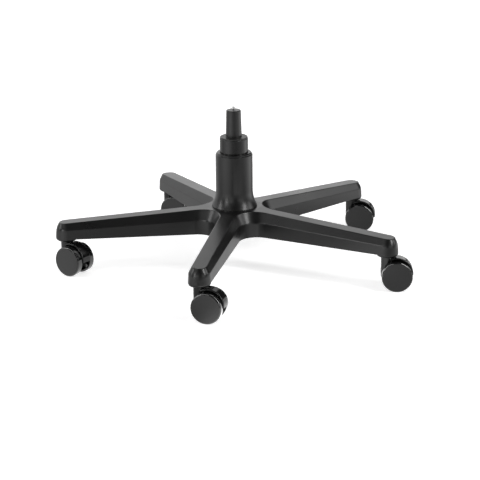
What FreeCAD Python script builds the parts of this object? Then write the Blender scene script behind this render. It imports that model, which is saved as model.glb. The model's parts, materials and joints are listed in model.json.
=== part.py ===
import FreeCAD, Part
import math
import os

# Five-arm office chair base on twin-wheel casters, with its height column.
# Millimetres. Origin on the floor, on the column's axis, +Z up. The first arm points along -Y.

# Star: one ribbed nylon moulding
arm_count = 5
first_arm_angle = -90.0
caster_circle_radius = 300.0
notch_centre_radius = 91.5
hub_top_height = 109.5
hub_flat_radius = 46.0
arm_slope_angle = 3.63
arm_bottom_height = 65.2
arm_top_width = 25.0
arm_root_bottom_width = 44.8
arm_tip_bottom_width = 38.4
bevel_angle = 26.8
side_draft_angle = 2.9
star_wall = 3.6
top_edge_radius = 1.5
crease_radius = 5.0
tip_crease_radius = 36.0
rib_thickness = 3.0
rib_recess = 2.0
cross_rib_pitch = 46.0
hub_boss_wall = 6.0
hub_boss_drop = 3.0
tip_boss_drop = 5.2
tip_boss_rounding = 5.0

# Height column: steel stand tube in the hub's taper, guide bush at its top
tube_radius = 25.0
tube_wall = 1.8
tube_top_height = 234.0
tube_drop = 6.0
tube_lip_width = 4.0
tube_lip_thickness = 2.0
tube_rim_radius = 0.8
column_taper_angle = 1.44
bush_length = 70.0
bush_flange_thickness = 2.4
bush_flange_inset = 0.6
bush_inner_wall = 3.0
bush_outer_wall = 2.2
bush_head = 6.0
bush_rib_count = 6
bush_rib_thickness = 2.4

# Column sleeve: moulded cover with a flared foot
sleeve_radius = 32.8
sleeve_top_height = 208.4
sleeve_shoulder = 4.0
sleeve_shoulder_step = 1.0
sleeve_flare_radius = 40.3
sleeve_flare_height = 30.0
sleeve_foot_lip = 1.6
sleeve_wall = 2.2
sleeve_tube_gap = 0.5

# Gas spring and the thrust bearing that it turns on
plate_thickness = 4.0
rod_radius = 5.0
rod_journal_radius = 4.0
race_radius = 12.5
race_thickness = 2.0
ball_radius = 2.0
ball_circle_radius = 8.6
ball_count = 10
cage_thickness = 1.6
cage_edge = 1.2
bumper_radius = 11.0
bumper_height = 15.0
bumper_chamfer = 2.0
clip_radius = 8.0
clip_thickness = 1.0
clip_groove_depth = 1.0
clip_slot_width = 5.0
rod_tail = 3.0
gas_cylinder_radius = 14.0
gas_cylinder_wall = 1.5
gas_cylinder_lip = 1.5
gas_cylinder_lip_radius = 8.0
rod_guide_length = 12.5
spindle_start_gap = 6.0
spindle_length = 42.0
spindle_cap_length = 20.0
spindle_rim_chamfer = 1.0
lift_stroke = 100.0
piston_length = 12.0
rod_head_length = 2.0
valve_pin_radius = 3.0
valve_pin_rise = 6.0
valve_pin_depth = 15.0
valve_pin_travel = 3.0
valve_pin_round = 1.0

# Casters: hooded body, stem with grip ring, axle and two wheels
caster_trail = 16.5
caster_trail_angles = (-5.6, 10.8, 4.3, -10.0, -24.8)
wheel_radius = 26.7
wheel_width = 12.5
wheel_span = 46.0
wheel_edge_radius = 2.0
wheel_inner_edge = 1.0
wheel_rim_wall = 3.0
wheel_face_wall = 2.6
wheel_hub_radius = 6.5
wheel_hub_recess = 0.3
wheel_rib_count = 6
wheel_rib_thickness = 1.6
wheel_rib_recess = 2.0
axle_radius = 3.0
axle_end_gap = 0.5
snap_depth = 0.5
snap_width = 1.2
snap_inset = 2.5
neck_radius = 10.7
neck_bottom_height = 20.0
neck_bottom_round = 4.0
hood_radius = 29.0
hood_shift = 0.5
hood_rise = 2.3
hood_wall = 2.6
hood_edge_round = 1.4
web_thickness = 7.0
web_reach = 12.0
axle_boss_radius = 6.5
stem_radius = 5.0
stem_bottom_height = 28.0
stem_collar_radius = 7.5
stem_collar_thickness = 2.0
stem_grip_radius = 5.5
stem_grip_length = 22.0
stem_end_chamfer = 1.0
socket_end_gap = 2.0
ring_height = 3.0
ring_inset = 5.0
ring_groove_depth = 1.0
ring_split_angle = 30.0

# Clearances
running_gap = 0.05
press_gap = 0.03
ring_gap = 0.1
face_gap = 0.3
hood_gap = 0.5
wheel_clearance = 0.8
collar_gap = 0.3
cut_margin = 2.0

# Sizes that follow from the ones above
half_turn = math.pi / arm_count
arm_slope = math.tan(math.radians(arm_slope_angle))
bevel_run = math.tan(math.radians(bevel_angle))
side_draft = math.tan(math.radians(side_draft_angle))
column_taper = math.tan(math.radians(column_taper_angle))
arm_root_radius = notch_centre_radius * math.cos(half_turn)
notch_reach = notch_centre_radius * math.sin(half_turn)
tip_radius = arm_tip_bottom_width / 2
boss_bottom_height = arm_bottom_height - tip_boss_drop
hub_bottom_height = arm_bottom_height - hub_boss_drop
tube_bottom_height = hub_bottom_height - tube_drop
neck_top_height = boss_bottom_height - face_gap
wheel_inner_face = wheel_span / 2 - wheel_width
hood_half_width = wheel_inner_face - hood_gap
plate_bottom_height = tube_bottom_height + tube_lip_thickness
plate_top_height = plate_bottom_height + plate_thickness
lower_race_top = plate_top_height + race_thickness
upper_race_bottom = lower_race_top + 2 * ball_radius + 2 * running_gap
upper_race_top = upper_race_bottom + race_thickness
bumper_top = upper_race_top + bumper_height
gas_cylinder_bottom = bumper_top + face_gap
gas_cylinder_bore = gas_cylinder_radius - gas_cylinder_wall
bush_top_height = tube_top_height + bush_flange_thickness
spindle_start = bush_top_height + spindle_start_gap
spindle_top = spindle_start + spindle_length
spindle_cap_bottom = spindle_top - spindle_cap_length
rod_guide_bottom = gas_cylinder_bottom + gas_cylinder_lip
rod_guide_top = rod_guide_bottom + rod_guide_length
piston_bottom = rod_guide_top + lift_stroke + face_gap
piston_top = piston_bottom + piston_length


def vec(x, y, z):
    return FreeCAD.Vector(x, y, z)


UP = vec(0, 0, 1)
SIDEWAYS = vec(0, 1, 0)
ORIGIN = vec(0, 0, 0)


def single(shape):
    """The one solid that a boolean result holds, cleaned of split faces."""
    solids = shape.removeSplitter().Solids
    if len(solids) != 1:
        raise ValueError("expected one solid, found %d" % len(solids))
    return solids[0]


def turned(start, *steps):
    """A solid turned about Z from an outline of (radius, height) points.

    A step is a point, or a pair of points for an arc through the first to the second.
    """
    edges = []
    here = start
    for step in steps + (start,):
        if isinstance(step[0], tuple):
            middle, end = step
            edges.append(Part.Arc(vec(here[0], 0, here[1]), vec(middle[0], 0, middle[1]),
                                  vec(end[0], 0, end[1])).toShape())
        else:
            end = step
            edges.append(Part.LineSegment(vec(here[0], 0, here[1]), vec(end[0], 0, end[1])).toShape())
        here = end
    return Part.Face(Part.Wire(edges)).revolve(ORIGIN, UP, 360)


def rounded(corner, towards, away, radius):
    """The arc that rounds a right-angled corner of a turned outline, as its three points."""
    to_unit = ((towards[0] > corner[0]) - (towards[0] < corner[0]),
               (towards[1] > corner[1]) - (towards[1] < corner[1]))
    from_unit = ((away[0] > corner[0]) - (away[0] < corner[0]),
                 (away[1] > corner[1]) - (away[1] < corner[1]))
    begin = (corner[0] + to_unit[0] * radius, corner[1] + to_unit[1] * radius)
    end = (corner[0] + from_unit[0] * radius, corner[1] + from_unit[1] * radius)
    centre = (corner[0] + (to_unit[0] + from_unit[0]) * radius,
              corner[1] + (to_unit[1] + from_unit[1]) * radius)
    reach = radius / math.sqrt(2)
    middle = (centre[0] - (to_unit[0] + from_unit[0]) * reach,
              centre[1] - (to_unit[1] + from_unit[1]) * reach)
    return begin, middle, end


def pillar(radius, bottom, top, x=0.0, y=0.0):
    return Part.makeCylinder(radius, top - bottom, vec(x, y, bottom), UP)


def cross_bar(radius, y_from, y_to, x, z):
    return Part.makeCylinder(radius, y_to - y_from, vec(x, y_from, z), SIDEWAYS)


def on_arm(shape, index):
    """A copy of a shape built along +X, turned on to one of the arms."""
    copy = shape.copy()
    copy.rotate(ORIGIN, UP, first_arm_angle + index * 360.0 / arm_count)
    return copy


def arm_top_at(radius):
    return hub_top_height - arm_slope * (radius - hub_flat_radius)


def star_outline(root_half, tip_half, height):
    """The star's outline at one height: straight arm sides, round tips, round notches."""
    edges = []
    for index in range(arm_count):
        turn = math.radians(first_arm_angle) + 2 * half_turn * index

        def place(along, across, turn=turn):
            return vec(along * math.cos(turn) - across * math.sin(turn),
                       along * math.sin(turn) + across * math.cos(turn), height)

        notch_radius = notch_reach - root_half
        apex = notch_centre_radius - notch_radius
        root_right = place(arm_root_radius, -root_half)
        tip_right = place(caster_circle_radius, -tip_half)
        tip_left = place(caster_circle_radius, tip_half)
        root_left = place(arm_root_radius, root_half)
        notch_apex = place(apex * math.cos(half_turn), apex * math.sin(half_turn))
        along_next = arm_root_radius * math.cos(2 * half_turn) + root_half * math.sin(2 * half_turn)
        across_next = arm_root_radius * math.sin(2 * half_turn) - root_half * math.cos(2 * half_turn)
        next_root = place(along_next, across_next)
        edges.append(Part.LineSegment(root_right, tip_right).toShape())
        nose = place(caster_circle_radius + tip_half, 0)
        bow = tip_half * math.sin(math.pi / 4)
        edges.append(Part.Arc(tip_right, place(caster_circle_radius + bow, -bow), nose).toShape())
        edges.append(Part.Arc(nose, place(caster_circle_radius + bow, bow), tip_left).toShape())
        edges.append(Part.LineSegment(tip_left, root_left).toShape())
        edges.append(Part.Arc(root_left, notch_apex, next_root).toShape())
    return Part.Wire(edges)


def star_prism(half_widths, bottom, top):
    """A star between two heights; half_widths gives its root and tip half widths at a height."""
    lower = star_outline(*half_widths(bottom), bottom)
    upper = star_outline(*half_widths(top), top)
    return Part.makeLoft([lower, upper], True, True)


def side_half_widths(inset):
    """Half widths of the drafted lower sides, moved in by a wall."""
    def at(height):
        draft = side_draft * (height - arm_bottom_height)
        return arm_root_bottom_width / 2 - draft - inset, arm_tip_bottom_width / 2 - draft - inset
    return at


def bevel_half_widths(inset):
    """Half widths of the long bevels under the arms' top faces, moved in by a wall."""
    def at(height):
        root = arm_top_width / 2 + bevel_run * (arm_top_at(arm_root_radius) - height)
        tip = arm_top_width / 2 + bevel_run * (arm_top_at(caster_circle_radius) - height)
        return root - inset, tip - inset
    return at


def star_top(depth):
    """The space under the hub's flat top and the arms' sloping tops, lowered by a depth."""
    reach = caster_circle_radius + arm_tip_bottom_width
    top = hub_top_height - depth
    floor = boss_bottom_height - cut_margin
    space = pillar(reach, floor, top)
    drop = arm_slope * (reach - hub_flat_radius)
    above = Part.Face(Part.makePolygon([vec(hub_flat_radius, -reach, top), vec(reach, -reach, top - drop),
                                        vec(reach, -reach, top + cut_margin),
                                        vec(hub_flat_radius, -reach, top + cut_margin),
                                        vec(hub_flat_radius, -reach, top)]))
    wedge = above.extrude(vec(0, 2 * reach, 0))
    return space.cut([on_arm(wedge, index) for index in range(arm_count)])


def star_body(side_inset, bevel_inset, depth, bottom):
    top = hub_top_height + cut_margin
    sides = star_prism(side_half_widths(side_inset), bottom, top)
    bevels = star_prism(bevel_half_widths(bevel_inset), bottom, top)
    return single(sides.common(bevels).common(star_top(depth)))


def faces_leaning(shape, low, high):
    """Hash codes of the faces whose normals rise by an amount between low and high."""
    chosen = set()
    for face in shape.Faces:
        u0, u1, v0, v1 = face.ParameterRange
        rise = face.normalAt((u0 + u1) / 2, (v0 + v1) / 2).z
        if low <= rise <= high:
            chosen.add(face.hashCode())
    return chosen


def edges_between(shape, first, second):
    """Edges that one face of each of two sets share."""
    shared = []
    for edge in shape.Edges:
        neighbours = [face.hashCode() for face in shape.ancestorsOfType(edge, Part.Face)]
        if len(neighbours) == 2:
            if any(a in first and b in second for a, b in (neighbours, neighbours[::-1])):
                shared.append(edge)
    return shared


def blended_creases(skin, creases):
    """Rounds the creases, with a radius that grows from the sides of each arm to the nose of its tip."""
    def radius_at(point):
        at_nose = math.hypot(point.x, point.y) > caster_circle_radius + tip_radius / 2
        return tip_crease_radius if at_nose else crease_radius

    rows = []
    for number, edge in enumerate(skin.Edges, 1):
        if any(edge.isSame(crease) for crease in creases):
            begin, finish = edge.valueAt(edge.FirstParameter), edge.valueAt(edge.LastParameter)
            rows.append((number, radius_at(begin), radius_at(finish)))
    document = FreeCAD.newDocument("star")
    sharp = document.addObject("Part::Feature", "sharp")
    sharp.Shape = skin
    soft = document.addObject("Part::Fillet", "soft")
    soft.Base = sharp
    soft.Edges = rows
    document.recompute()
    blended = soft.Shape.Solids[0].copy()
    FreeCAD.closeDocument(document.Name)
    return blended


def star_skin():
    """The star's outside with its top edges and creases rounded."""
    skin = star_body(0, 0, 0, arm_bottom_height)
    flat_rise = math.cos(math.radians((arm_slope_angle + bevel_angle) / 2))
    bevel_rise = math.sin(math.radians((side_draft_angle + bevel_angle) / 2))
    bevels = faces_leaning(skin, bevel_rise, flat_rise)
    sides = faces_leaning(skin, -bevel_rise, bevel_rise)
    skin = blended_creases(skin, edges_between(skin, bevels, sides))
    tops = faces_leaning(skin, flat_rise, math.inf)
    bevels = faces_leaning(skin, bevel_rise, flat_rise)
    return skin.makeFillet(top_edge_radius, edges_between(skin, tops, bevels))


def star_ribs():
    """Lengthwise and cross ribs inside the arms, and ribs from the hub to the notches."""
    bottom = arm_bottom_height + rib_recess
    height = hub_top_height - bottom
    half = arm_root_bottom_width / 2
    inner = tube_radius + hub_boss_wall / 2
    spine = Part.makeBox(caster_circle_radius - inner, rib_thickness, height,
                         vec(inner, -rib_thickness / 2, bottom))
    web = Part.makeBox(notch_centre_radius - inner, rib_thickness, height,
                       vec(inner, -rib_thickness / 2, bottom))
    web.rotate(ORIGIN, UP, math.degrees(half_turn))
    ribs = [spine, web]
    free_length = caster_circle_radius - tip_radius - arm_root_radius
    for step in range(int(free_length / cross_rib_pitch) + 1):
        along = arm_root_radius + step * cross_rib_pitch
        ribs.append(Part.makeBox(rib_thickness, 2 * half, height,
                                 vec(along - rib_thickness / 2, -half, bottom)))
    return [on_arm(rib, index) for rib in ribs for index in range(arm_count)]


def hub_bore():
    """The tapered hole that the stand tube sits in."""
    def radius(height):
        return column_radius_at(height) + press_gap
    bottom = hub_bottom_height - cut_margin
    top = hub_top_height + cut_margin
    return turned((0, bottom), (radius(bottom), bottom), (radius(hub_top_height), hub_top_height),
                  (radius(hub_top_height), top), (0, top))


def column_radius_at(height):
    return tube_radius - column_taper * max(hub_top_height - height, 0)


def tip_boss():
    """The round boss under an arm's tip, with a rounded lower edge."""
    rim = (tip_radius, boss_bottom_height)
    begin, middle, end = rounded(rim, (0, boss_bottom_height), (tip_radius, hub_top_height), tip_boss_rounding)
    top = arm_bottom_height + star_wall
    return turned((0, boss_bottom_height), begin, (middle, end), (tip_radius, arm_bottom_height),
                  (tip_radius - star_wall, arm_bottom_height), (tip_radius - star_wall, top), (0, top))


def caster_socket():
    top = boss_bottom_height + stem_grip_length + socket_end_gap
    return pillar(stem_grip_radius + running_gap, boss_bottom_height - cut_margin, top)


def star_base():
    bottom = arm_bottom_height - cut_margin
    bevel_inset = star_wall / math.cos(math.radians(bevel_angle))
    hollow = star_body(star_wall, bevel_inset, star_wall, bottom)
    hub_boss = pillar(tube_radius + hub_boss_wall, bottom, hub_top_height)
    tip_cores = []
    tip_bosses = []
    sockets = []
    for index in range(arm_count):
        core = pillar(tip_radius, bottom, hub_top_height, caster_circle_radius)
        boss = tip_boss()
        socket = caster_socket()
        for shape in (boss, socket):
            shape.translate(vec(caster_circle_radius, 0, 0))
        tip_cores.append(on_arm(core, index))
        tip_bosses.append(on_arm(boss, index))
        sockets.append(on_arm(socket, index))
    hollow = hollow.cut([hub_boss] + tip_cores + star_ribs())
    hub_foot = pillar(tube_radius + hub_boss_wall, hub_bottom_height, arm_bottom_height + star_wall)
    body = star_skin().cut(hollow).fuse(hub_foot).fuse(tip_bosses)
    return single(body.cut([hub_bore()] + sockets))


def stand_tube():
    """Steel tube with a tapered foot, turned in at the bottom to carry the plate."""
    top_rim = (tube_radius, tube_top_height)
    begin, middle, end = rounded(top_rim, (tube_radius, 0), (0, tube_top_height), tube_rim_radius)
    foot = column_radius_at(tube_bottom_height)
    foot_inside = column_radius_at(plate_bottom_height) - tube_wall
    bore = tube_radius - tube_wall
    return turned((foot - tube_lip_width - tube_wall, tube_bottom_height), (foot, tube_bottom_height),
                  (tube_radius, hub_top_height), begin, (middle, end),
                  (bore, tube_top_height), (bore, hub_top_height),
                  (foot_inside, plate_bottom_height),
                  (foot - tube_lip_width - tube_wall, plate_bottom_height))


def guide_bush():
    """Plastic bush in the tube's mouth: an inner and an outer sleeve, ribs and a top flange."""
    bottom = tube_top_height - bush_length
    bore = gas_cylinder_radius + running_gap
    outside = tube_radius - tube_wall - press_gap
    inner = bore + bush_inner_wall
    outer = outside - bush_outer_wall
    head = tube_top_height - bush_head
    flange = tube_radius - bush_flange_inset
    shell = turned((bore, bottom), (inner, bottom), (inner, head), (outer, head), (outer, bottom),
                   (outside, bottom), (outside, tube_top_height), (flange, tube_top_height),
                   (flange, bush_top_height - bush_flange_inset),
                   (flange - bush_flange_inset, bush_top_height), (bore, bush_top_height))
    ribs = []
    for step in range(bush_rib_count):
        rib = Part.makeBox(outer - inner + bush_inner_wall, bush_rib_thickness, head - bottom,
                           vec(inner - bush_inner_wall / 2, -bush_rib_thickness / 2, bottom))
        rib.rotate(ORIGIN, UP, step * 360.0 / bush_rib_count)
        ribs.append(rib)
    return single(shell.fuse(ribs))


def column_sleeve():
    """Thin cover round the tube, with a stepped shoulder and a foot that flares on to the hub."""
    foot_top = hub_top_height + sleeve_foot_lip
    flare_top = hub_top_height + sleeve_flare_height
    flare_out = sleeve_flare_radius - sleeve_radius
    flare_rise = flare_top - foot_top
    curve = (flare_out ** 2 + flare_rise ** 2) / (2 * flare_out)
    half_sweep = math.asin(flare_rise / curve) / 2
    neck_in = sleeve_radius - sleeve_wall

    def flare(base):
        """Middle and end of the flare's arc, from its top down, on a wall at radius base."""
        middle = (base + curve * (1 - math.cos(half_sweep)), flare_top - curve * math.sin(half_sweep))
        return middle, (base + flare_out, foot_top)

    out_middle, out_end = flare(sleeve_radius)
    in_middle, in_end = flare(neck_in)
    shoulder = sleeve_top_height - sleeve_shoulder
    bevel = (sleeve_shoulder - sleeve_shoulder_step) / 2
    mouth = tube_radius + sleeve_tube_gap
    ceiling = sleeve_top_height - sleeve_wall
    inner_shoulder = shoulder - sleeve_wall * math.tan(math.pi / 8)
    return turned((in_end[0], hub_top_height), (out_end[0], hub_top_height), out_end,
                  (out_middle, (sleeve_radius, flare_top)), (sleeve_radius, shoulder),
                  (sleeve_radius - bevel, shoulder + bevel),
                  (sleeve_radius - bevel, shoulder + bevel + sleeve_shoulder_step),
                  (sleeve_radius - 2 * bevel, sleeve_top_height), (mouth, sleeve_top_height),
                  (mouth, ceiling), (neck_in - (ceiling - inner_shoulder), ceiling),
                  (neck_in, inner_shoulder), (neck_in, flare_top), (in_middle, in_end))


def disc(outer, hole, bottom, top):
    return turned((hole, bottom), (outer, bottom), (outer, top), (hole, top))


def base_plate():
    inside = column_radius_at(plate_bottom_height) - tube_wall - press_gap
    return disc(inside, rod_journal_radius + running_gap, plate_bottom_height, plate_top_height)


def bearing_balls():
    middle = (lower_race_top + upper_race_bottom) / 2
    balls = []
    for step in range(ball_count):
        ball = Part.makeSphere(ball_radius, vec(ball_circle_radius, 0, middle))
        ball.rotate(ORIGIN, UP, step * 360.0 / ball_count)
        balls.append(ball)
    return Part.makeCompound(balls)


def ball_cage():
    middle = (lower_race_top + upper_race_bottom) / 2
    reach = ball_radius + cage_edge
    ring = disc(ball_circle_radius + reach, ball_circle_radius - reach,
                middle - cage_thickness / 2, middle + cage_thickness / 2)
    pockets = []
    for step in range(ball_count):
        pocket = pillar(ball_radius + ring_gap, lower_race_top, upper_race_bottom, ball_circle_radius)
        pocket.rotate(ORIGIN, UP, step * 360.0 / ball_count)
        pockets.append(pocket)
    return single(ring.cut(pockets))


def bumper():
    bore = rod_radius + running_gap
    return turned((bore, upper_race_top), (bumper_radius, upper_race_top),
                  (bumper_radius, bumper_top - bumper_chamfer),
                  (bumper_radius - bumper_chamfer, bumper_top), (bore, bumper_top))


def clip_heights():
    top = plate_bottom_height - face_gap
    return top - clip_thickness, top


def piston_rod():
    """Rod with a journal through the bearing and plate, a clip groove and a head for the piston."""
    clip_low, clip_high = clip_heights()
    tail = clip_low - rod_tail
    groove = rod_journal_radius - clip_groove_depth
    head = piston_top + rod_head_length
    return turned((0, tail), (rod_journal_radius, tail), (rod_journal_radius, clip_low), (groove, clip_low),
                  (groove, clip_high), (rod_journal_radius, clip_high), (rod_journal_radius, upper_race_top),
                  (rod_radius, upper_race_top), (rod_radius, piston_bottom),
                  (rod_journal_radius, piston_bottom), (rod_journal_radius, head), (0, head))


def rod_clip():
    """Open retaining ring in the rod's groove, under the plate."""
    low, high = clip_heights()
    bore = rod_journal_radius - clip_groove_depth + running_gap
    slot = Part.makeBox(clip_radius + cut_margin, clip_slot_width, high - low,
                        vec(0, -clip_slot_width / 2, low))
    return single(disc(clip_radius, bore, low, high).cut(slot))


def gas_cylinder():
    """Pressure cylinder, rolled in at the bottom, closed by a tapered spindle at the top."""
    top_radius = gas_cylinder_radius - column_taper * spindle_length
    rim = top_radius - spindle_rim_chamfer
    pin_floor = spindle_top - valve_pin_depth - valve_pin_travel - face_gap
    pin_bore = valve_pin_radius + running_gap
    return turned((gas_cylinder_lip_radius, gas_cylinder_bottom), (gas_cylinder_radius, gas_cylinder_bottom),
                  (gas_cylinder_radius, spindle_start), (top_radius, spindle_top - spindle_rim_chamfer),
                  (rim, spindle_top), (pin_bore, spindle_top), (pin_bore, pin_floor), (0, pin_floor),
                  (0, spindle_cap_bottom), (gas_cylinder_bore, spindle_cap_bottom),
                  (gas_cylinder_bore, rod_guide_bottom), (gas_cylinder_lip_radius, rod_guide_bottom))


def rod_guide():
    return disc(gas_cylinder_bore - press_gap, rod_radius + running_gap, rod_guide_bottom, rod_guide_top)


def piston():
    return disc(gas_cylinder_bore - running_gap, rod_journal_radius + press_gap, piston_bottom, piston_top)


def valve_pin():
    bottom = spindle_top - valve_pin_depth
    top = spindle_top + valve_pin_rise
    begin, middle, end = rounded((valve_pin_radius, top), (valve_pin_radius, 0), (0, top), valve_pin_round)
    return turned((0, bottom), (valve_pin_radius, bottom), begin, (middle, end), (0, top))


def caster_stem():
    """Steel pin: snap groove and foot in the caster, collar under the boss, grip end in the socket."""
    collar_bottom = boss_bottom_height - stem_collar_thickness
    top = boss_bottom_height + stem_grip_length
    ring_top = top - ring_inset
    ring_bottom = ring_top - ring_height - 2 * ring_gap
    groove = stem_grip_radius - ring_groove_depth
    snap_bottom = stem_bottom_height + snap_inset
    snap_top = snap_bottom + snap_width + 2 * ring_gap
    snap_radius = stem_radius - snap_depth - ring_gap
    return turned((0, stem_bottom_height), (stem_radius, stem_bottom_height), (stem_radius, snap_bottom),
                  (snap_radius, snap_bottom), (snap_radius, snap_top), (stem_radius, snap_top),
                  (stem_radius, collar_bottom), (stem_collar_radius, collar_bottom),
                  (stem_collar_radius, boss_bottom_height), (stem_grip_radius, boss_bottom_height),
                  (stem_grip_radius, ring_bottom), (groove, ring_bottom), (groove, ring_top),
                  (stem_grip_radius, ring_top), (stem_grip_radius, top - stem_end_chamfer),
                  (stem_grip_radius - stem_end_chamfer, top), (0, top))


def grip_ring():
    """Split spring ring in the stem's groove."""
    top = boss_bottom_height + stem_grip_length - ring_inset - ring_gap
    bottom = top - ring_height
    bore = stem_grip_radius - ring_groove_depth + running_gap
    outline = Part.makePolygon([vec(bore, 0, bottom), vec(stem_grip_radius, 0, bottom),
                                vec(stem_grip_radius, 0, top), vec(bore, 0, top), vec(bore, 0, bottom)])
    return Part.Face(outline).revolve(ORIGIN, UP, 360 - ring_split_angle)


def stem_bore():
    """Blind hole in the caster's neck: wide for the collar, with a snap lip near its floor."""
    bore = stem_radius + running_gap
    lip_bottom = stem_bottom_height + snap_inset + ring_gap
    lip_top = lip_bottom + snap_width
    lip = stem_radius - snap_depth
    collar = stem_collar_radius + collar_gap
    collar_floor = boss_bottom_height - stem_collar_thickness - collar_gap
    top = neck_top_height + cut_margin
    return turned((0, stem_bottom_height), (bore, stem_bottom_height), (bore, lip_bottom), (lip, lip_bottom),
                  (lip, lip_top), (bore, lip_top), (bore, collar_floor), (collar, collar_floor),
                  (collar, top), (0, top))


def hood_fender():
    """The curved strip over the gap between the wheels, from the neck round to mid-height behind."""
    centre = vec(caster_trail - hood_shift, 0, wheel_radius + hood_rise)
    outer = Part.makeCylinder(hood_radius, 2 * hood_half_width, centre - SIDEWAYS * hood_half_width, SIDEWAYS)
    outer = outer.makeFillet(hood_edge_round, [edge for edge in outer.Edges if edge.Curve.TypeId
                                               == "Part::GeomCircle"])
    inner = Part.makeCylinder(hood_radius - hood_wall, 2 * hood_half_width,
                              centre - SIDEWAYS * hood_half_width, SIDEWAYS)
    kept = Part.makeBox(2 * hood_radius, 2 * hood_half_width, 2 * hood_radius,
                        vec(0, -hood_half_width, wheel_radius))
    return outer.cut(inner).common(kept)


def hood_web():
    """The middle wall under the fender, from the neck to a little behind the axle boss."""
    centre = vec(caster_trail - hood_shift, 0, wheel_radius + hood_rise)
    round_plate = Part.makeCylinder(hood_radius - hood_wall / 2, web_thickness,
                                    centre - SIDEWAYS * (web_thickness / 2), SIDEWAYS)
    low = wheel_radius - axle_boss_radius
    front = Part.makeBox(caster_trail + web_reach, web_thickness, 2 * hood_radius,
                         vec(0, -web_thickness / 2, low))
    return round_plate.common(front)


def wheel_room(side):
    """The space that a wheel turns in, at the caster's side."""
    start = side * hood_half_width
    stop = side * (wheel_span / 2 + cut_margin)
    return cross_bar(wheel_radius + wheel_clearance, min(start, stop), max(start, stop),
                     caster_trail, wheel_radius)


def caster_body():
    """Moulded hood: neck on the stem, web and fender between the wheels, boss for the axle."""
    begin, middle, end = rounded((neck_radius, neck_bottom_height), (0, neck_bottom_height),
                                 (neck_radius, neck_top_height), neck_bottom_round)
    neck = turned((0, neck_bottom_height), begin, (middle, end), (neck_radius, neck_top_height),
                  (0, neck_top_height))
    boss = cross_bar(axle_boss_radius, -hood_half_width, hood_half_width, caster_trail, wheel_radius)
    body = neck.fuse([hood_fender(), hood_web(), boss])
    axle_hole = cross_bar(axle_radius + press_gap, -wheel_span, wheel_span, caster_trail, wheel_radius)
    return single(body.cut([wheel_room(1), wheel_room(-1), axle_hole, stem_bore()]))


def axle_half_length():
    return wheel_span / 2 - wheel_face_wall - axle_end_gap


def wheel_axle():
    """Steel pin across the hood, grooved near each end for the wheels' snap lips."""
    half = axle_half_length()
    groove_outer = half - snap_inset
    groove_inner = groove_outer - snap_width - 2 * ring_gap
    groove = axle_radius - snap_depth - ring_gap
    pin = turned((0, -half), (axle_radius, -half), (axle_radius, -groove_outer), (groove, -groove_outer),
                 (groove, -groove_inner), (axle_radius, -groove_inner), (axle_radius, groove_inner),
                 (groove, groove_inner), (groove, groove_outer), (axle_radius, groove_outer),
                 (axle_radius, half), (0, half))
    return laid_across(pin)


def laid_across(shape):
    """A shape turned about Z, laid on to the wheels' axis."""
    shape.rotate(ORIGIN, vec(1, 0, 0), -90)
    shape.translate(vec(caster_trail, 0, wheel_radius))
    return shape


def wheel(side):
    """Cup-shaped wheel: flat face, rounded outer edge, rim, ribbed inside and a snap-on hub."""
    face = wheel_span / 2
    inner = wheel_inner_face
    hub_start = inner + wheel_hub_recess
    face_inside = face - wheel_face_wall
    rim_inside = wheel_radius - wheel_rim_wall
    bore = axle_radius + running_gap
    lip_outer = axle_half_length() - snap_inset - ring_gap
    lip_inner = lip_outer - snap_width
    lip = axle_radius - snap_depth
    edge_begin, edge_middle, edge_end = rounded((wheel_radius, face), (0, face), (wheel_radius, 0),
                                                wheel_edge_radius)
    in_begin, in_middle, in_end = rounded((wheel_radius, inner), (wheel_radius, face), (0, inner),
                                          wheel_inner_edge)
    cup = turned((0, face), edge_begin, (edge_middle, edge_end), in_begin, (in_middle, in_end),
                 (rim_inside, inner), (rim_inside, face_inside), (wheel_hub_radius, face_inside),
                 (wheel_hub_radius, hub_start), (bore, hub_start), (bore, lip_inner), (lip, lip_inner),
                 (lip, lip_outer), (bore, lip_outer), (bore, face_inside), (0, face_inside))
    rib_start = inner + wheel_rib_recess
    ribs = []
    for step in range(wheel_rib_count):
        rib = Part.makeBox(wheel_radius - wheel_rim_wall / 2 - bore - snap_depth, wheel_rib_thickness,
                           face - wheel_face_wall / 2 - rib_start,
                           vec(bore + snap_depth, -wheel_rib_thickness / 2, rib_start))
        rib.rotate(ORIGIN, UP, step * 360.0 / wheel_rib_count)
        ribs.append(rib)
    body = single(cup.fuse(ribs))
    if side < 0:
        body.rotate(ORIGIN, vec(1, 0, 0), 180)
    return laid_across(body)


def at_caster(shape, index):
    """A caster piece swung to its resting direction and set under one of the arms."""
    turn = math.radians(first_arm_angle) + 2 * half_turn * index
    copy = shape.copy()
    copy.rotate(ORIGIN, UP, caster_trail_angles[index % len(caster_trail_angles)])
    copy.translate(vec(caster_circle_radius * math.cos(turn), caster_circle_radius * math.sin(turn), 0))
    return copy


def column_pieces():
    race_hole = rod_journal_radius + running_gap
    return {
        "star_base": star_base(),
        "column_sleeve": column_sleeve(),
        "stand_tube": stand_tube(),
        "guide_bush": guide_bush(),
        "base_plate": base_plate(),
        "lower_race": disc(race_radius, race_hole, plate_top_height, lower_race_top),
        "bearing_balls": bearing_balls(),
        "ball_cage": ball_cage(),
        "upper_race": disc(race_radius, race_hole, upper_race_bottom, upper_race_top),
        "bumper": bumper(),
        "piston_rod": piston_rod(),
        "rod_clip": rod_clip(),
        "piston": piston(),
        "gas_cylinder": gas_cylinder(),
        "rod_guide": rod_guide(),
        "valve_pin": valve_pin(),
    }


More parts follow.
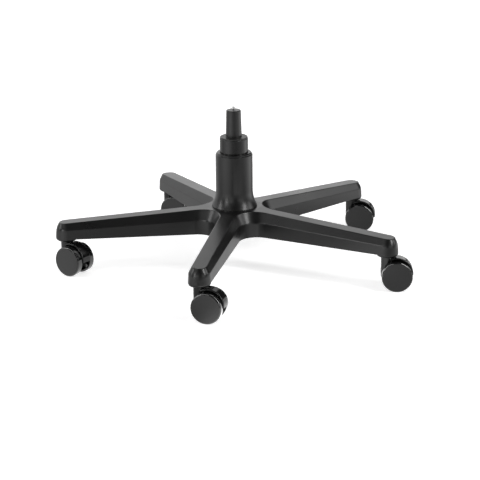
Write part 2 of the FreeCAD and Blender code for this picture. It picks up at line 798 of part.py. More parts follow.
def caster_pieces():
    moulds = {
        "caster_stem": caster_stem(),
        "grip_ring": grip_ring(),
        "caster_body": caster_body(),
        "wheel_axle": wheel_axle(),
        "wheel_left": wheel(1),
        "wheel_right": wheel(-1),
    }
    pieces = {}
    for index in range(arm_count):
        for name, shape in moulds.items():
            pieces["%s_%d" % (name, index + 1)] = at_caster(shape, index)
    return pieces


os.makedirs("parts", exist_ok=True)
for pieces in (column_pieces(), caster_pieces()):
    for node, shape in pieces.items():
        if not shape.isValid():
            raise ValueError("%s is not a valid shape" % node)
        shape.exportStep("parts/%s.step" % node)
        print(node, round(shape.Volume / 1000, 2), "cm3")
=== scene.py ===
# %% [markdown]
# # A five-star chair base, dressed for the studio
#
# The solids of the base come in as a fixed frame: every piece already has its size and place.
# This lesson gives the pieces their moulded, painted and turned finishes, grows the caster wheels with
# Geometry Nodes, and sets up a white studio with the camera where the photograph was taken.
# The first cell loads the frame.

# %% Load the frame
import json
import math

import bpy
from mathutils import Matrix, Vector

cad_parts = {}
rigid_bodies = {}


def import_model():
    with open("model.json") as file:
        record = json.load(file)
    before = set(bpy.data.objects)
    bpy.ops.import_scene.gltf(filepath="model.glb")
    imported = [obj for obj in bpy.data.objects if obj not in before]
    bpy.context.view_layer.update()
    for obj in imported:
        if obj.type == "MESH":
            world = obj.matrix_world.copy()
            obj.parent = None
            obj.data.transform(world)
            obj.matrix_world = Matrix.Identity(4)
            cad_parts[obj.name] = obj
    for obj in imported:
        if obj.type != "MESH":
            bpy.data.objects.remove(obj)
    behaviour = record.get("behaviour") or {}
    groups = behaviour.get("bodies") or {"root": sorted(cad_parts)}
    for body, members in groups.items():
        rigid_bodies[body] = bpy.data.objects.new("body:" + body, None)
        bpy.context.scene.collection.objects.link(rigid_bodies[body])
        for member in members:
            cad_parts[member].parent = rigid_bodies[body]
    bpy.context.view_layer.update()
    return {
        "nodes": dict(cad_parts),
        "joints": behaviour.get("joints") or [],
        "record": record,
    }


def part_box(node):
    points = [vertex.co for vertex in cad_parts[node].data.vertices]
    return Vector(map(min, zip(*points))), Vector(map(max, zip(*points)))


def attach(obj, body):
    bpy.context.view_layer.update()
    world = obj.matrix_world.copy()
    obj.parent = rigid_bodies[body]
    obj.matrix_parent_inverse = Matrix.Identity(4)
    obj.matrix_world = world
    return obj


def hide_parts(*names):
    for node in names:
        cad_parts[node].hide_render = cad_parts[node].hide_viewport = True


for leftover in list(bpy.data.objects):
    bpy.data.objects.remove(leftover)

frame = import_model()
nodes = frame["nodes"]

# %% [markdown]
# ## Small helpers for node trees
#
# A finish is a small network of nodes, and so is a Geometry Nodes tree. Two helpers keep the cells
# below short: one adds a node and sets its plain values, the other starts a shader group with named
# sockets. A grey is written often, because everything here is black, grey or white.

# %% Helpers for node trees
def add_node(tree, kind, values=None, **settings):
    """A node of one kind, with its properties set, and its inputs filled by name or number."""
    node = tree.nodes.new(kind)
    for name, value in settings.items():
        setattr(node, name, value)
    for socket, value in (values or {}).items():
        node.inputs[socket].default_value = value
    return node


def new_group(name, inputs, outputs):
    """An empty shader group with named float inputs and outputs, and its two end nodes."""
    tree = bpy.data.node_groups.new(name, "ShaderNodeTree")
    for label, default in inputs.items():
        socket = tree.interface.new_socket(label, in_out="INPUT", socket_type="NodeSocketFloat")
        socket.default_value = default
    for label in outputs:
        tree.interface.new_socket(label, in_out="OUTPUT", socket_type="NodeSocketFloat")
    return tree, add_node(tree, "NodeGroupInput"), add_node(tree, "NodeGroupOutput")


def grey(level):
    """A plain grey, as the colour that a socket takes."""
    return (level, level, level, 1.0)


# %% [markdown]
# ## The grain of a mould
#
# Moulded nylon copies the spark-eroded skin of its steel tool: a very fine, even grain that scatters
# a reflection a little, over slow clouds where the plastic cooled at different speeds. A painted texture
# could hold both, but noise on Object coordinates needs no unwrapping and keeps its size on every piece.
# The star, the sleeve and the wheels share the effect, only finer or coarser, so it is one group.

# %% Mould grain group
def make_mould_grain():
    """Fine grain as a height, and slow clouds as a mask."""
    tree, start, end = new_group(
        "mould_grain",
        {"Grain Scale": 1800.0, "Cloud Scale": 14.0, "Cloud Share": 0.3},
        ("Height", "Cloud"))
    place = add_node(tree, "ShaderNodeTexCoord")
    grain = add_node(tree, "ShaderNodeTexNoise", {"Detail": 2.0, "Roughness": 0.6})
    cloud = add_node(tree, "ShaderNodeTexNoise", {"Detail": 3.0, "Roughness": 0.55})
    mix = add_node(tree, "ShaderNodeMix", data_type="FLOAT")
    tree.links.new(place.outputs["Object"], grain.inputs["Vector"])
    tree.links.new(place.outputs["Object"], cloud.inputs["Vector"])
    tree.links.new(start.outputs["Grain Scale"], grain.inputs["Scale"])
    tree.links.new(start.outputs["Cloud Scale"], cloud.inputs["Scale"])
    tree.links.new(start.outputs["Cloud Share"], mix.inputs["Factor"])
    tree.links.new(grain.outputs["Fac"], mix.inputs["A"])
    tree.links.new(cloud.outputs["Fac"], mix.inputs["B"])
    tree.links.new(mix.outputs["Result"], end.inputs["Height"])
    tree.links.new(cloud.outputs["Fac"], end.inputs["Cloud"])
    return tree


mould_grain = make_mould_grain()
print("group:", mould_grain.name)

# %% [markdown]
# ## Plastics, paint and rubber
#
# Every black piece here is almost the same colour. What sets them apart is how they reflect: the star and
# the sleeve are satin mouldings, the painted tube is a little glossier, the wheels' faces are matt, their
# rims and the hoods are polished. So one function makes them all, from the darkness, the roughness and
# the grain. Both ends of a ramp lie close to the darkness, because real plastic is never one flat tone.

# %% Moulded and painted finishes
tone_spread = 0.15
cloud_low = 0.3
cloud_high = 0.7
plastic_ior = 1.5


def black_finish(slot, darkness, roughness, uneven, grain_scale, grain_depth, polish=0.0):
    """A dark base, a roughness that wanders with the clouds, the grain as bump, and any polish over it."""
    material = bpy.data.materials.new("finish_" + slot)
    material.use_nodes = True
    tree = material.node_tree
    shader = tree.nodes["Principled BSDF"]
    shader.inputs["IOR"].default_value = plastic_ior
    shader.inputs["Coat Weight"].default_value = polish
    grain = add_node(tree, "ShaderNodeGroup", node_tree=mould_grain)
    grain.inputs["Grain Scale"].default_value = grain_scale
    colour = add_node(tree, "ShaderNodeValToRGB")
    colour.color_ramp.elements[0].color = grey(darkness * (1 - tone_spread))
    colour.color_ramp.elements[1].color = grey(darkness * (1 + tone_spread))
    rough = add_node(tree, "ShaderNodeMapRange",
                     {"From Min": cloud_low, "From Max": cloud_high,
                      "To Min": roughness - uneven, "To Max": roughness + uneven})
    bump = add_node(tree, "ShaderNodeBump", {"Strength": 1.0, "Distance": grain_depth})
    tree.links.new(grain.outputs["Cloud"], colour.inputs["Fac"])
    tree.links.new(colour.outputs["Color"], shader.inputs["Base Color"])
    tree.links.new(grain.outputs["Cloud"], rough.inputs["Value"])
    tree.links.new(rough.outputs["Result"], shader.inputs["Roughness"])
    tree.links.new(grain.outputs["Height"], bump.inputs["Height"])
    tree.links.new(bump.outputs["Normal"], shader.inputs["Normal"])
    return material


# Each row: darkness, roughness, how far the roughness wanders, grains per metre, depth of the grain
# in metres, and the polish over it where there is any.
moulded_and_painted = {
    "star_nylon": (0.006, 0.30, 0.03, 1800.0, 0.000004),
    "sleeve_plastic": (0.006, 0.30, 0.03, 1800.0, 0.000004),
    "tube_paint": (0.006, 0.24, 0.03, 700.0, 0.000006),
    "bush_plastic": (0.012, 0.38, 0.04, 1500.0, 0.000005),
    "spindle_paint": (0.012, 0.32, 0.04, 700.0, 0.000006),
    "bumper_rubber": (0.010, 0.6, 0.05, 900.0, 0.00002),
    "hood_plastic": (0.004, 0.14, 0.03, 1500.0, 0.000002),
    "wheel_nylon": (0.005, 0.07, 0.02, 1600.0, 0.000001, 1.0),
    "wheel_face": (0.022, 0.36, 0.04, 1600.0, 0.000005),
}
finishes = {slot: black_finish(slot, *values) for slot, values in moulded_and_painted.items()}
print("black finishes:", sorted(finishes))

# %% [markdown]
# ## Steel
#
# The bearing, the rod and the caster stems are turned on a lathe, which leaves fine rings round them.
# Rings could be cut as grooves, but they are finer than a hair. A noise that is stretched flat, so that
# it changes quickly along the height and slowly round it, gives the same streaks as tone and bump.

# %% Turning marks group
def make_turning_marks():
    """Streaks round an upright axis, as one value for tone, roughness and height."""
    tree, start, end = new_group("turning_marks", {"Pitch Scale": 2500.0, "Round Scale": 40.0}, ("Streak",))
    place = add_node(tree, "ShaderNodeTexCoord")
    squeeze = add_node(tree, "ShaderNodeCombineXYZ")
    stretch = add_node(tree, "ShaderNodeVectorMath", operation="MULTIPLY")
    streak = add_node(tree, "ShaderNodeTexNoise", {"Scale": 1.0, "Detail": 2.0, "Roughness": 0.5})
    for across in ("X", "Y"):
        tree.links.new(start.outputs["Round Scale"], squeeze.inputs[across])
    tree.links.new(start.outputs["Pitch Scale"], squeeze.inputs["Z"])
    tree.links.new(place.outputs["Object"], stretch.inputs[0])
    tree.links.new(squeeze.outputs["Vector"], stretch.inputs[1])
    tree.links.new(stretch.outputs["Vector"], streak.inputs["Vector"])
    tree.links.new(streak.outputs["Fac"], end.inputs["Streak"])
    return tree


turning_marks = make_turning_marks()
print("group:", turning_marks.name)

# %% Turned and plated steel
def turned_steel(slot, dull, bright, smooth, rough, mark_depth):
    """Metal whose tone and roughness follow the turning marks."""
    material = bpy.data.materials.new("finish_" + slot)
    material.use_nodes = True
    tree = material.node_tree
    shader = tree.nodes["Principled BSDF"]
    shader.inputs["Metallic"].default_value = 1.0
    marks = add_node(tree, "ShaderNodeGroup", node_tree=turning_marks)
    colour = add_node(tree, "ShaderNodeValToRGB")
    colour.color_ramp.elements[0].color = grey(dull)
    colour.color_ramp.elements[1].color = grey(bright)
    gloss = add_node(tree, "ShaderNodeMapRange", {"To Min": smooth, "To Max": rough})
    bump = add_node(tree, "ShaderNodeBump", {"Strength": 1.0, "Distance": mark_depth})
    tree.links.new(marks.outputs["Streak"], colour.inputs["Fac"])
    tree.links.new(colour.outputs["Color"], shader.inputs["Base Color"])
    tree.links.new(marks.outputs["Streak"], gloss.inputs["Value"])
    tree.links.new(gloss.outputs["Result"], shader.inputs["Roughness"])
    tree.links.new(marks.outputs["Streak"], bump.inputs["Height"])
    tree.links.new(bump.outputs["Normal"], shader.inputs["Normal"])
    return material


# Each row: dullest and brightest tone, smoothest and roughest polish, depth of the marks in metres.
turned = {
    "bearing_steel": (0.46, 0.60, 0.16, 0.30, 0.000002),
    "rod_steel": (0.52, 0.64, 0.08, 0.18, 0.000001),
    "stem_steel": (0.40, 0.58, 0.24, 0.40, 0.000004),
}
for slot, values in turned.items():
    finishes[slot] = turned_steel(slot, *values)

for part in frame["record"]["subparts"]:
    nodes[part["node"]].data.materials.clear()
    nodes[part["node"]].data.materials.append(finishes[part["material_slot"]])
print("finishes:", sorted(finishes))

# %% [markdown]
# ## The wheels
#
# Each caster has two cup-shaped wheels: a matt face with a slight crown, a polished rounded edge and
# tread, and ribs inside the cup. They could be turned with a Screw modifier, but all ten are the same
# outline, so a Geometry Nodes tree sweeps that outline round the axle, stands the ribs in the cup and
# gives face and rim their own finish, with the sizes as named inputs. First the wheel is measured.

# %% Measure a wheel in the frame
wheel_joints = {joint["child"]: joint for joint in frame["joints"] if joint["child"].startswith("wheel_")}


def wheel_frame(body):
    """Centre of the caster's axle, and the unit vector from it out through this wheel's face."""
    centre = Vector(wheel_joints[body]["pos_m"])
    axis = Vector(wheel_joints[body]["axis"]).normalized()
    vertices = nodes[body].data.vertices
    middle = sum((vertex.co for vertex in vertices), Vector()) / len(vertices)
    return centre, axis if (middle - centre).dot(axis) > 0 else -axis


first_wheel = sorted(wheel_joints)[0]
centre, outward = wheel_frame(first_wheel)
offsets = [(vertex.co - centre).dot(outward) for vertex in nodes[first_wheel].data.vertices]
wheel_inner = min(offsets)
wheel_outer = max(offsets)
wheel_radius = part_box(first_wheel)[1].z - centre.z
print("wheel radius %.4f, from %.4f to %.4f along the axle" % (wheel_radius, wheel_inner, wheel_outer))

# %% [markdown]
# ## The wheel's half section
#
# The outline runs from the middle of the face, over its crown and a fine groove, round the polished
# edge, along the tread and back through the cup and the hub. It is a curve that only guides the sweep.

# %% Sizes of the section
# Lengths in metres. Each bend of the rim: from angle, to angle, radius.
crown = 0.0008
groove_width = 0.0005
groove_depth = 0.0005
rim_drop = 0.0002
rim_bends = ((0, 36, 0.0009), (36, 56, 0.0050), (56, 90, 0.0009))
inner_edge_radius = 0.0010
rim_wall = 0.0030
face_wall = 0.0026
hub_radius = 0.0065
hub_recess = 0.0003
axle_bore = 0.00305
sweep_radius = 0.001
arc_steps = 10
crown_steps = 8


def quarter_arc(centre_r, centre_h, radius, from_angle, to_angle):
    """Points of an arc in the outline's plane, radius across and height up."""
    points = []
    for step in range(arc_steps + 1):
        angle = math.radians(from_angle + (to_angle - from_angle) * step / arc_steps)
        points.append((centre_r + radius * math.cos(angle), centre_h + radius * math.sin(angle)))
    return points


# %% Rim and face of the outline
def polished_rim():
    """Points of the rim from its top to the tread: a soft bevel between two tighter bends."""
    across = 0.0
    height = 0.0
    points = [(across, height)]
    for start, stop, radius in rim_bends:
        for step in range(arc_steps):
            before = math.radians(start + (stop - start) * step / arc_steps)
            after = math.radians(start + (stop - start) * (step + 1) / arc_steps)
            across += radius * (math.sin(after) - math.sin(before))
            height += radius * (math.cos(after) - math.cos(before))
            points.append((across, height))
    return [(point[0] - across + wheel_radius, point[1]) for point in points]


rim_start = polished_rim()[0][0]
face_radius = rim_start - groove_width


def crowned_face():
    """Points from the middle of the face to its edge, falling off as a shallow bowl turned over."""
    points = []
    for step in range(crown_steps + 1):
        share = step / crown_steps
        points.append((face_radius * share, wheel_outer - crown * share ** 2))
    return points


print("face radius %.4f, rim from %.4f" % (face_radius, rim_start))

# %% Outline as a curve
def wheel_outline():
    """Half section of the cup, from the middle of its face round to the middle of its inside."""
    inside = wheel_outer - face_wall
    face_edge = wheel_outer - crown
    rim_top = face_edge - rim_drop
    groove_floor = face_edge - groove_depth
    cup = wheel_radius - rim_wall
    hub_end = wheel_inner + hub_recess
    groove = [(face_radius, groove_floor), (rim_start, groove_floor)]
    rim = [(across, rim_top + height) for across, height in polished_rim()]
    inner_edge = quarter_arc(wheel_radius - inner_edge_radius, wheel_inner + inner_edge_radius,
                             inner_edge_radius, 0, -90)
    return crowned_face() + groove + rim + inner_edge + [
        (cup, wheel_inner), (cup, inside), (hub_radius, inside), (hub_radius, hub_end),
        (axle_bore, hub_end), (axle_bore, inside), (0.0, inside)]


outline = bpy.data.curves.new("wheel_outline", "CURVE")
spline = outline.splines.new("POLY")
points = wheel_outline()
spline.points.add(len(points) - 1)
for point, (across, height) in zip(spline.points, points):
    point.co = (across - sweep_radius, -height, 0.0, 1.0)
outline_guide = bpy.data.objects.new("wheel_outline", outline)
bpy.context.scene.collection.objects.link(outline_guide)
print("outline points:", len(points))

# %% [markdown]
# ## A tree that sweeps the outline
#
# Curve to Mesh carries the outline round a tiny circle on the axle, and Merge by Distance closes the
# poles. The ribs are one block, stood on the points of a circle and turned to face the axle. Set
# Material then picks the face by its distance from the axle and its height.

# %% Nodes of the sweep
pole_gap = 0.000001


def swept_outline(tree, start):
    """Carries the outline round the axle and closes the poles."""
    link = tree.links.new
    path = add_node(tree, "GeometryNodeCurvePrimitiveCircle")
    section = add_node(tree, "GeometryNodeObjectInfo")
    sweep = add_node(tree, "GeometryNodeCurveToMesh")
    close = add_node(tree, "GeometryNodeMergeByDistance", {"Distance": pole_gap})
    link(start.outputs["Sweep Radius"], path.inputs["Radius"])
    link(start.outputs["Steps"], path.inputs["Resolution"])
    link(start.outputs["Outline"], section.inputs["Object"])
    link(path.outputs["Curve"], sweep.inputs["Curve"])
    link(section.outputs["Geometry"], sweep.inputs["Profile Curve"])
    link(sweep.outputs["Mesh"], close.inputs["Geometry"])
    return close.outputs["Geometry"]


# %% Nodes of the ribs
def standing_ribs(tree, start):
    """Stands a block on each point of a circle, turned to face the axle, as real geometry."""
    link = tree.links.new
    ring = add_node(tree, "GeometryNodeMeshCircle")
    rib = add_node(tree, "GeometryNodeMeshCube")
    index = add_node(tree, "GeometryNodeInputIndex")
    share = add_node(tree, "ShaderNodeMath", operation="DIVIDE")
    turn = add_node(tree, "ShaderNodeMath", {1: 2 * math.pi}, operation="MULTIPLY")
    spin = add_node(tree, "ShaderNodeCombineXYZ")
    stand = add_node(tree, "GeometryNodeInstanceOnPoints")
    lift = add_node(tree, "ShaderNodeCombineXYZ")
    raise_ribs = add_node(tree, "GeometryNodeTransform")
    real = add_node(tree, "GeometryNodeRealizeInstances")
    link(start.outputs["Rib Count"], ring.inputs["Vertices"])
    link(start.outputs["Rib Circle"], ring.inputs["Radius"])
    link(start.outputs["Rib Size"], rib.inputs["Size"])
    link(index.outputs["Index"], share.inputs[0])
    link(start.outputs["Rib Count"], share.inputs[1])
    link(share.outputs["Value"], turn.inputs[0])
    link(turn.outputs["Value"], spin.inputs["Z"])
    link(ring.outputs["Mesh"], stand.inputs["Points"])
    link(rib.outputs["Mesh"], stand.inputs["Instance"])
    link(spin.outputs["Vector"], stand.inputs["Rotation"])
    link(start.outputs["Rib Middle"], lift.inputs["Z"])
    link(stand.outputs["Instances"], raise_ribs.inputs["Geometry"])
    link(lift.outputs["Vector"], raise_ribs.inputs["Translation"])
    link(raise_ribs.outputs["Geometry"], real.inputs["Geometry"])
    return real.outputs["Geometry"]


# %% Nodes of the two finishes
def two_finishes(tree, start, geometry):
    """Gives the rim's finish to the whole wheel, and then the face's to what is high and near the axle."""
    link = tree.links.new
    rim_finish = add_node(tree, "GeometryNodeSetMaterial")
    face_finish = add_node(tree, "GeometryNodeSetMaterial")
    where = add_node(tree, "GeometryNodeInputPosition")
    parts = add_node(tree, "ShaderNodeSeparateXYZ")
    flat = add_node(tree, "ShaderNodeCombineXYZ")
    reach = add_node(tree, "ShaderNodeVectorMath", operation="LENGTH")
    near = add_node(tree, "ShaderNodeMath", operation="LESS_THAN")
    high = add_node(tree, "ShaderNodeMath", operation="GREATER_THAN")
    on_face = add_node(tree, "ShaderNodeMath", operation="MULTIPLY")
    link(where.outputs["Position"], parts.inputs["Vector"])
    link(parts.outputs["X"], flat.inputs["X"])
    link(parts.outputs["Y"], flat.inputs["Y"])
    link(flat.outputs["Vector"], reach.inputs[0])
    link(reach.outputs["Value"], near.inputs[0])
    link(start.outputs["Face Radius"], near.inputs[1])
    link(parts.outputs["Z"], high.inputs[0])
    link(start.outputs["Face Height"], high.inputs[1])
    link(near.outputs["Value"], on_face.inputs[0])
    link(high.outputs["Value"], on_face.inputs[1])
    link(geometry, rim_finish.inputs["Geometry"])
    link(start.outputs["Rim Finish"], rim_finish.inputs["Material"])
    link(rim_finish.outputs["Geometry"], face_finish.inputs["Geometry"])
    link(on_face.outputs["Value"], face_finish.inputs["Selection"])
    link(start.outputs["Face Finish"], face_finish.inputs["Material"])
    return face_finish.outputs["Geometry"]


# %% Geometry Nodes tree of the wheel
wheel_inputs = {
    "Outline": "NodeSocketObject", "Sweep Radius": "NodeSocketFloat", "Steps": "NodeSocketInt",
    "Face Radius": "NodeSocketFloat", "Face Height": "NodeSocketFloat",
    "Rib Count": "NodeSocketInt", "Rib Circle": "NodeSocketFloat", "Rib Middle": "NodeSocketFloat",
    "Rib Size": "NodeSocketVector",
    "Rim Finish": "NodeSocketMaterial", "Face Finish": "NodeSocketMaterial",
}


def make_wheel_tree():
    """Joins the sweep and the ribs and sets the finishes. Gives the inputs' identifiers by name."""
    tree = bpy.data.node_groups.new("caster_wheel", "GeometryNodeTree")
    tree.interface.new_socket("Geometry", in_out="OUTPUT", socket_type="NodeSocketGeometry")
    sockets = {}
    for label, kind in wheel_inputs.items():
        sockets[label] = tree.interface.new_socket(label, in_out="INPUT", socket_type=kind).identifier
    start = add_node(tree, "NodeGroupInput")
    end = add_node(tree, "NodeGroupOutput")
    both = add_node(tree, "GeometryNodeJoinGeometry")
    tree.links.new(swept_outline(tree, start), both.inputs["Geometry"])
    tree.links.new(standing_ribs(tree, start), both.inputs["Geometry"])
    tree.links.new(two_finishes(tree, start, both.outputs["Geometry"]), end.inputs["Geometry"])
    return tree, sockets


wheel_tree, wheel_sockets = make_wheel_tree()
print("tree inputs:", list(wheel_sockets))

# %% Sweep the wheel once
sweep_steps = 144
rib_count = 6
rib_thickness = 0.0016
rib_recess = 0.0020
rib_start = wheel_inner + rib_recess
rib_end = wheel_outer - face_wall / 2
rib_from = hub_radius - hub_recess
rib_to = wheel_radius - rim_wall / 2
wheel_values = {
    "Outline": outline_guide, "Sweep Radius": sweep_radius, "Steps": sweep_steps,
    "Face Radius": face_radius, "Face Height": wheel_outer - face_wall / 2,
    "Rib Count": rib_count, "Rib Circle": (rib_from + rib_to) / 2, "Rib Middle": (rib_start + rib_end) / 2,
    "Rib Size": (rib_to - rib_from, rib_thickness, rib_end - rib_start),
    "Rim Finish": finishes["wheel_nylon"], "Face Finish": finishes["wheel_face"],
}
smooth_angle = math.radians(28)


def grown_mesh(name, tree, sockets, values):
    """The plain mesh that a Geometry Nodes tree grows from its inputs."""
    carrier = bpy.data.objects.new(name, bpy.data.meshes.new(name))
    bpy.context.scene.collection.objects.link(carrier)
    modifier = carrier.modifiers.new(name, "NODES")
    modifier.node_group = tree
    for label, value in values.items():
        modifier[sockets[label]] = value
    grown = carrier.evaluated_get(bpy.context.evaluated_depsgraph_get())
    mesh = bpy.data.meshes.new_from_object(grown)
    carrier.modifiers.remove(modifier)
    bpy.data.objects.remove(carrier)
    return mesh


wheel_mesh = grown_mesh("wheel", wheel_tree, wheel_sockets, wheel_values)
for polygon in wheel_mesh.polygons:
    polygon.use_smooth = True
wheel_mesh.set_sharp_from_angle(angle=smooth_angle)
bpy.data.objects.remove(outline_guide)
print("wheel faces:", len(wheel_mesh.polygons))

# %% [markdown]
# ## Ten wheels on five axles
#
# The wheel was swept once, at the origin. Each copy is turned so that its face looks out along its own
# axle, and its place is kept in its mesh. It rides on its wheel's body, so it turns and swivels with it.

# %% Set the ten wheels on their axles
upright = Vector((0.0, 0.0, 1.0))
for body in sorted(wheel_joints):
    centre, outward = wheel_frame(body)
    turn = Matrix((upright, outward.cross(upright), outward)).transposed()
    mesh = wheel_mesh.copy()
    mesh.transform(Matrix.Translation(centre) @ turn.to_4x4())
    piece = bpy.data.objects.new("moulded_" + body, mesh)
    bpy.context.scene.collection.objects.link(piece)
    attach(piece, body)
    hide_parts(body)
print("wheels:", len(wheel_joints))

# %% [markdown]
# ## The white floor
#
# The base stands on a white sheet, large enough that no view sees its edge. A backdrop that curves up
# behind would do as well, but the world is already white to the camera, so one flat face is enough.

# %% Floor sheet
floor_size = 16.0

corner = floor_size / 2
corners = [(-corner, -corner, 0), (corner, -corner, 0), (corner, corner, 0), (-corner, corner, 0)]
floor_mesh = bpy.data.meshes.new("floor")
floor_mesh.from_pydata(corners, [], [(0, 1, 2, 3)])
floor = bpy.data.objects.new("floor", floor_mesh)
bpy.context.scene.collection.objects.link(floor)
print("floor:", floor_size, "m")

# %% [markdown]
# ## What the plastic sees of the floor
#
# Black plastic shows what it reflects, and in a studio the floor is not even: lamps light some of it, and
# corners stay dark.
# More lamps could do that, but they would light the base too. So the sheet glows in reflections with
# painted light and shade, one ring of levels near the base and one further out, blended by distance.

# %% Brightness round the base
# A radial gradient starts at the left and runs by the front to the right. A Mix node of colours keeps its
# sockets at the places given here.
gradient_start = 270
whole_turn = 360
mix_share = 0
mix_inner = 6
mix_outer = 7
mix_colour = 2


def glow_round(tree, place, levels):
    """Painted light and shade of the floor round the base, as a ramp of glow. Azimuth 0 is behind it and 90
    to its right, in degrees.
    """
    round_base = add_node(tree, "ShaderNodeTexGradient", gradient_type="RADIAL")
    ramp = add_node(tree, "ShaderNodeValToRGB")
    tree.links.new(place.outputs["Object"], round_base.inputs["Vector"])
    tree.links.new(round_base.outputs["Fac"], ramp.inputs["Fac"])
    stops = sorted(((gradient_start - azimuth) % whole_turn / whole_turn, level)
                   for azimuth, level in levels.items())
    seam = (stops[0][1] + stops[-1][1]) / 2
    elements = ramp.color_ramp.elements
    elements[0].color = grey(seam)
    elements[1].color = grey(seam)
    for share, level in stops:
        elements.new(share).color = grey(level)
    return ramp.outputs["Color"]


def blended_by_distance(tree, place, reach, inner, outer):
    """One brightness near the column, turning into another further out. Each is a level or a ramp."""
    distance = add_node(tree, "ShaderNodeVectorMath", operation="LENGTH")
    share = add_node(tree, "ShaderNodeMapRange", {"From Min": reach[0], "From Max": reach[1]})
    blend = add_node(tree, "ShaderNodeMix", data_type="RGBA")
    tree.links.new(place.outputs["Object"], distance.inputs[0])
    tree.links.new(distance.outputs["Value"], share.inputs["Value"])
    tree.links.new(share.outputs["Result"], blend.inputs[mix_share])
    for socket, brightness in ((mix_inner, inner), (mix_outer, outer)):
        if isinstance(brightness, float):
            blend.inputs[socket].default_value = grey(brightness)
        else:
            tree.links.new(brightness, blend.inputs[socket])
    return blend.outputs[mix_colour]


# %% [markdown]
# ## Paint, glow and shadow
#
# For the camera the sheet is white paint that keeps the soft shadows under the casters, with a glow that
# takes it to white. Light Path tells the two looks apart. Seen from below the sheet is clear, so that the
# ribs under the arms can be looked at.

# %% Finish of the floor
floor_paint = 0.9
camera_glow_near = 0.60
camera_glow_far = 1.0
camera_reach = (0.6, 2.2)
hub_glow = 0.86
hub_reach = (0.15, 0.28)
far_reach = (0.42, 0.55)
# Painted light and shade of the sheet as reflections see it, by azimuth, in degrees.
near_glow = {-178: 0.5, -145: 0.5, -115: 0.95, -80: 0.6, -45: 0.75, 30: 0.6, 72: 0.4, 100: 0.6,
             124: 0.6, 132: 1.4, 150: 1.4, 174: 2.1}
far_glow = {-180: 0.45, -165: 0.95, -150: 1.3, -132: 1.4, -105: 0.85, -91: 0.42, -60: 0.75, -20: 0.6,
            30: 0.35, 60: 2.0, 86: 1.15, 110: 0.7, 133: 0.45, 149: 0.28, 167: 0.38}

floor_finish = bpy.data.materials.new("floor_white")
floor_finish.use_nodes = True
tree = floor_finish.node_tree
tree.nodes.clear()
output = add_node(tree, "ShaderNodeOutputMaterial")
seen = add_node(tree, "ShaderNodeLightPath")
glow = add_node(tree, "ShaderNodeEmission", {"Strength": 1.0})
camera_paint = add_node(tree, "ShaderNodeBsdfDiffuse", {"Color": grey(floor_paint)})
camera_glow = add_node(tree, "ShaderNodeEmission", {"Strength": 1.0})
camera_look = add_node(tree, "ShaderNodeAddShader")
choose = add_node(tree, "ShaderNodeMixShader")
side = add_node(tree, "ShaderNodeNewGeometry")
clear = add_node(tree, "ShaderNodeBsdfTransparent")
one_sided = add_node(tree, "ShaderNodeMixShader")
place = add_node(tree, "ShaderNodeTexCoord")
# The glow that reflections see is painted light and shade: a level near the column, a near ring and a far
# ring.
near_base = blended_by_distance(tree, place, hub_reach, hub_glow, glow_round(tree, place, near_glow))
painted_floor_glow = blended_by_distance(tree, place, far_reach, near_base, glow_round(tree, place, far_glow))
page_white = blended_by_distance(tree, place, camera_reach, camera_glow_near, camera_glow_far)
tree.links.new(painted_floor_glow, glow.inputs["Color"])
tree.links.new(page_white, camera_glow.inputs["Color"])
tree.links.new(camera_paint.outputs[0], camera_look.inputs[0])
tree.links.new(camera_glow.outputs[0], camera_look.inputs[1])
tree.links.new(seen.outputs["Is Camera Ray"], choose.inputs[0])
tree.links.new(glow.outputs[0], choose.inputs[1])
tree.links.new(camera_look.outputs[0], choose.inputs[2])
tree.links.new(side.outputs["Backfacing"], one_sided.inputs[0])
tree.links.new(choose.outputs[0], one_sided.inputs[1])
tree.links.new(clear.outputs[0], one_sided.inputs[2])
tree.links.new(one_sided.outputs[0], output.inputs["Surface"])
floor.data.materials.append(floor_finish)
print("floor finish:", floor_finish.name)

# %% [markdown]
# ## Soft panels
#
# The photograph was lit by large soft panels: the flat tops mirror what stands behind, the bevels mirror
# the dark ceiling, and the sides mirror panels at the left and right. One lamp could light the base, but
# black plastic needs something to reflect, and the polished rims need narrow bright panels at the sides
# to draw a line of light on them. Each panel is written as where it stands, as seen from the base, and
# how bright it looks, so that it can be moved without working out watts.

# %% Softboxes
panel_distance = 3.2
panel_aim = Vector((0.0, 0.0, 0.1))


def softbox(name, azimuth, low, high, width, radiance):
    """A panel between two elevations, with a plain radiance. Azimuth as for the floor, in degrees."""
    side = math.radians(azimuth)
    rise = math.radians((low + high) / 2)
    light = bpy.data.lights.new(name, "AREA")
    light.shape = "RECTANGLE"
    light.size = 2 * panel_distance * math.tan(math.radians(width / 2))
    light.size_y = 2 * panel_distance * math.tan(math.radians((high - low) / 2))
    light.energy = radiance * math.pi * light.size * light.size_y
    direction = Vector((math.cos(rise) * math.sin(side), math.cos(rise) * math.cos(side), math.sin(rise)))
    lamp = bpy.data.objects.new(name, light)
    lamp.location = panel_aim + direction * panel_distance
    lamp.rotation_euler = (-direction).to_track_quat("-Z", "Y").to_euler()
    lamp.visible_camera = False
    bpy.context.scene.collection.objects.link(lamp)
    return lamp


# Each row: name, azimuth, lowest and highest elevation, width in degrees, radiance.
panels = [
    softbox("back_wall", -12, 2, 26, 52, 1.27),
    softbox("back_top", -12, 26, 44, 52, 0.6),
    softbox("right_rear", 76, 8, 34, 22, 2.5),
    softbox("left_rear", -60, 2, 44, 50, 1.0),
    softbox("right_side", 110, 16, 58, 14, 9.0),
    softbox("left_side", -106, 6, 50, 14, 4.5),
    softbox("left_front_low", -145, 2, 20, 14, 5.0),
    softbox("left_front_high", -145, 20, 44, 40, 0.45),
    softbox("left_front_top", -142, 50, 62, 40, 2.5),
    softbox("front_low", -172, 2, 14, 24, 1.5),
    softbox("right_front_low", 131, 1, 14, 34, 1.2),
]
print("panels:", [panel.name for panel in panels])

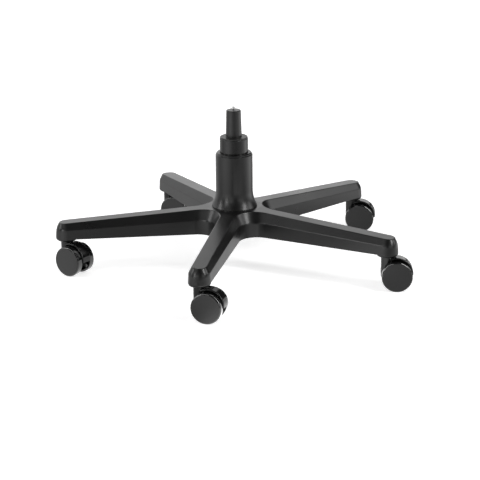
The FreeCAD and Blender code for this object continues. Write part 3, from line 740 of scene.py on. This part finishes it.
# %% [markdown]
# ## The room round the panels
#
# Behind everything the camera sees white, as on a catalogue page. The rest of the room is almost dark,
# so that the bevels stay black.

# %% World
room_level = 0.035

world = bpy.data.worlds.new("studio")
bpy.context.scene.world = world
world.use_nodes = True
tree = world.node_tree
tree.nodes.clear()
output = add_node(tree, "ShaderNodeOutputWorld")
seen = add_node(tree, "ShaderNodeLightPath")
white = add_node(tree, "ShaderNodeBackground", {"Color": grey(1.0), "Strength": 1.0})
room = add_node(tree, "ShaderNodeBackground", {"Color": grey(1.0), "Strength": room_level})
choose = add_node(tree, "ShaderNodeMixShader")
tree.links.new(seen.outputs["Is Camera Ray"], choose.inputs[0])
tree.links.new(room.outputs[0], choose.inputs[1])
tree.links.new(white.outputs[0], choose.inputs[2])
tree.links.new(choose.outputs[0], output.inputs["Surface"])
bpy.context.scene.view_settings.view_transform = "Standard"
print("room level:", room_level)

# %% [markdown]
# ## The camera
#
# The lens and the place were worked out from the arms' tips: five points at one height on a known circle
# fix the distance, the height and the turn. The last small turns centre the base as it is in the frame.

# %% Camera
view_azimuth = math.radians(11.388)
view_elevation = math.radians(17.605)
view_distance = 3.52569
view_target = Vector((0.0, 0.0, 0.04244))
view_pan = math.radians(0.146)
view_tilt = math.radians(0.030)
view_roll = math.radians(0.665)
view_lens = 147.41
sensor_width = 36.0

back = Vector((math.sin(view_azimuth) * math.cos(view_elevation),
               -math.cos(view_azimuth) * math.cos(view_elevation), math.sin(view_elevation)))
right = Vector((math.cos(view_azimuth), math.sin(view_azimuth), 0.0))
up = back.cross(right)
facing = Matrix((right, up, back)).transposed().to_4x4()
nudge = (Matrix.Rotation(-view_pan, 4, "Y") @ Matrix.Rotation(view_tilt, 4, "X")
         @ Matrix.Rotation(-view_roll, 4, "Z"))
lens = bpy.data.cameras.new("view")
lens.lens = view_lens
lens.sensor_width = sensor_width
camera = bpy.data.objects.new("view", lens)
camera.matrix_world = Matrix.Translation(view_target + back * view_distance) @ facing @ nudge
bpy.context.scene.collection.objects.link(camera)
bpy.context.scene.camera = camera
print("camera at", tuple(round(value, 3) for value in camera.matrix_world.translation))
